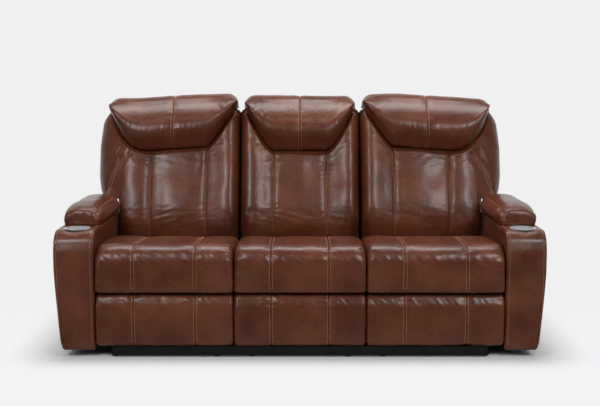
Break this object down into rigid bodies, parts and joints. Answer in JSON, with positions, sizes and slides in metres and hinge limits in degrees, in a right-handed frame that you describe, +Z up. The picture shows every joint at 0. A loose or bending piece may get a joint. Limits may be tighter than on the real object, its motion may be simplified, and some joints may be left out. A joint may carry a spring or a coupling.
{
  "type": "power reclining sofa",
  "caption": "Brown leather power reclining sofa with separate recliner seats, pillow headrests, padded arms and steel cup holders.",
  "frame": {"origin": "on the floor, centred under the sofa's box", "axes": "+X to the right seen from the front, +Y to the rear, +Z up"},
  "size_m": [2.0046, 0.914, 1.0555],
  "materials": {
    "brown_leather": "semi-gloss, mottled",
    "steel_black": "satin black powder coat",
    "steel_zinc": "zinc plated",
    "plywood": "unfinished plywood",
    "cup_steel": "brushed stainless",
    "black_plastic": "fine grain",
    "grey_plastic": "satin",
    "foot_plastic": "satin"
  },
  "bodies": {
    "base": {"base_frame_left": "steel_black", "base_frame_middle": "steel_black", "base_frame_right": "steel_black", "feet": "foot_plastic", "rear_skirt": "brown_leather", "arm_frame_left": "plywood", "arm_frame_right": "plywood", "arm_cover_left": "brown_leather", "arm_cover_right": "brown_leather", "arm_pad_left": "brown_leather", "arm_pad_right": "brown_leather", "cup_holder_left": "cup_steel", "cup_holder_right": "cup_steel", "switch_plate_left": "black_plastic", "switch_plate_right": "black_plastic", "arm_bolts": "steel_zinc", "power_supply": "black_plastic"},
    "seat_left": {"seat_plates_left": "steel_zinc", "seat_frame_left": "plywood", "seat_cushion_left": "brown_leather", "motor_left": "black_plastic"},
    "drive_left": {"drive_link_left": "steel_zinc"},
    "carry_left": {"carry_link_left": "steel_zinc"},
    "footrest_left": {"footrest_board_left": "plywood", "footrest_pad_left": "brown_leather"},
    "carriage_left": {"drive_carriage_left": "steel_zinc"},
    "back_left": {"back_frame_left": "plywood", "back_cover_left": "brown_leather", "back_cushion_left": "brown_leather", "headrest_left": "brown_leather"},
    "rocker_left": {"rocker_left": "grey_plastic"},
    "seat_middle": {"seat_plates_middle": "steel_zinc", "seat_frame_middle": "plywood", "seat_cushion_middle": "brown_leather", "motor_middle": "black_plastic"},
    "drive_middle": {"drive_link_middle": "steel_zinc"},
    "carry_middle": {"carry_link_middle": "steel_zinc"},
    "footrest_middle": {"footrest_board_middle": "plywood", "footrest_pad_middle": "brown_leather"},
    "carriage_middle": {"drive_carriage_middle": "steel_zinc"},
    "back_middle": {"back_frame_middle": "plywood", "back_cover_middle": "brown_leather", "back_cushion_middle": "brown_leather", "headrest_middle": "brown_leather"},
    "rocker_middle": {"rocker_middle": "grey_plastic"},
    "seat_right": {"seat_plates_right": "steel_zinc", "seat_frame_right": "plywood", "seat_cushion_right": "brown_leather", "motor_right": "black_plastic"},
    "drive_right": {"drive_link_right": "steel_zinc"},
    "carry_right": {"carry_link_right": "steel_zinc"},
    "footrest_right": {"footrest_board_right": "plywood", "footrest_pad_right": "brown_leather"},
    "carriage_right": {"drive_carriage_right": "steel_zinc"},
    "back_right": {"back_frame_right": "plywood", "back_cover_right": "brown_leather", "back_cushion_right": "brown_leather", "headrest_right": "brown_leather"},
    "rocker_right": {"rocker_right": "grey_plastic"}
  },
  "joints": [
    {"name": "recline_left", "type": "hinge", "parent": "seat_left", "child": "back_left", "pos_m": [-0.5525, 0.21803, 0.35], "axis": [-1, 0, 0], "range_deg": [0, 38]},
    {"name": "glide_left", "type": "slide", "parent": "base", "child": "seat_left", "axis": [0, -1, 0], "range_m": [0, 0.06001]},
    {"name": "lift_left", "type": "hinge", "parent": "seat_left", "child": "drive_left", "pos_m": [-0.5525, -0.37097, 0.24], "axis": [-1, 0, 0], "range_deg": [0, 90]},
    {"name": "carry_left", "type": "hinge", "parent": "drive_left", "child": "carry_left", "pos_m": [-0.5525, -0.37097, 0.09], "axis": [-1, 0, 0], "range_deg": [-162, 0]},
    {"name": "swing_left", "type": "hinge", "parent": "carry_left", "child": "footrest_left", "pos_m": [-0.5525, -0.37097, 0.255], "axis": [-1, 0, 0], "range_deg": [0, 162]},
    {"name": "spindle_left", "type": "slide", "parent": "seat_left", "child": "carriage_left", "axis": [0, -1, 0], "range_m": [0, 0.07355]},
    {"name": "recline_middle", "type": "hinge", "parent": "seat_middle", "child": "back_middle", "pos_m": [0, 0.21803, 0.35], "axis": [-1, 0, 0], "range_deg": [0, 38]},
    {"name": "glide_middle", "type": "slide", "parent": "base", "child": "seat_middle", "axis": [0, -1, 0], "range_m": [0, 0.06001]},
    {"name": "lift_middle", "type": "hinge", "parent": "seat_middle", "child": "drive_middle", "pos_m": [0, -0.37097, 0.24], "axis": [-1, 0, 0], "range_deg": [0, 90]},
    {"name": "carry_middle", "type": "hinge", "parent": "drive_middle", "child": "carry_middle", "pos_m": [0, -0.37097, 0.09], "axis": [-1, 0, 0], "range_deg": [-162, 0]},
    {"name": "swing_middle", "type": "hinge", "parent": "carry_middle", "child": "footrest_middle", "pos_m": [0, -0.37097, 0.255], "axis": [-1, 0, 0], "range_deg": [0, 162]},
    {"name": "spindle_middle", "type": "slide", "parent": "seat_middle", "child": "carriage_middle", "axis": [0, -1, 0], "range_m": [0, 0.07355]},
    {"name": "recline_right", "type": "hinge", "parent": "seat_right", "child": "back_right", "pos_m": [0.5525, 0.21803, 0.35], "axis": [-1, 0, 0], "range_deg": [0, 38]},
    {"name": "glide_right", "type": "slide", "parent": "base", "child": "seat_right", "axis": [0, -1, 0], "range_m": [0, 0.06001]},
    {"name": "lift_right", "type": "hinge", "parent": "seat_right", "child": "drive_right", "pos_m": [0.5525, -0.37097, 0.24], "axis": [-1, 0, 0], "range_deg": [0, 90]},
    {"name": "carry_right", "type": "hinge", "parent": "drive_right", "child": "carry_right", "pos_m": [0.5525, -0.37097, 0.09], "axis": [-1, 0, 0], "range_deg": [-162, 0]},
    {"name": "swing_right", "type": "hinge", "parent": "carry_right", "child": "footrest_right", "pos_m": [0.5525, -0.37097, 0.255], "axis": [-1, 0, 0], "range_deg": [0, 162]},
    {"name": "spindle_right", "type": "slide", "parent": "seat_right", "child": "carriage_right", "axis": [0, -1, 0], "range_m": [0, 0.07355]},
    {"name": "press_left", "type": "hinge", "parent": "base", "child": "rocker_left", "pos_m": [-0.996, -0.15697, 0.4], "axis": [0, 0, 1], "range_deg": [-6, 6], "stiffness_Nm_per_rad": 0.05},
    {"name": "press_middle", "type": "hinge", "parent": "base", "child": "rocker_middle", "pos_m": [0.996, -0.10297, 0.4], "axis": [0, 0, 1], "range_deg": [-6, 6], "stiffness_Nm_per_rad": 0.05},
    {"name": "press_right", "type": "hinge", "parent": "base", "child": "rocker_right", "pos_m": [0.996, -0.15697, 0.4], "axis": [0, 0, 1], "range_deg": [-6, 6], "stiffness_Nm_per_rad": 0.05}
  ],
  "couplings": [
    {"joint": "glide_left", "follows": "recline_left", "m_per_rad": 0.090467},
    {"joint": "carry_left", "follows": "lift_left", "ratio": -1.8},
    {"joint": "swing_left", "follows": "lift_left", "ratio": 1.8},
    {"joint": "spindle_left", "follows": "lift_left", "m_per_rad": 0.046816},
    {"joint": "glide_middle", "follows": "recline_middle", "m_per_rad": 0.090467},
    {"joint": "carry_middle", "follows": "lift_middle", "ratio": -1.8},
    {"joint": "swing_middle", "follows": "lift_middle", "ratio": 1.8},
    {"joint": "spindle_middle", "follows": "lift_middle", "m_per_rad": 0.046816},
    {"joint": "glide_right", "follows": "recline_right", "m_per_rad": 0.090467},
    {"joint": "carry_right", "follows": "lift_right", "ratio": -1.8},
    {"joint": "swing_right", "follows": "lift_right", "ratio": 1.8},
    {"joint": "spindle_right", "follows": "lift_right", "m_per_rad": 0.046816}
  ]
}
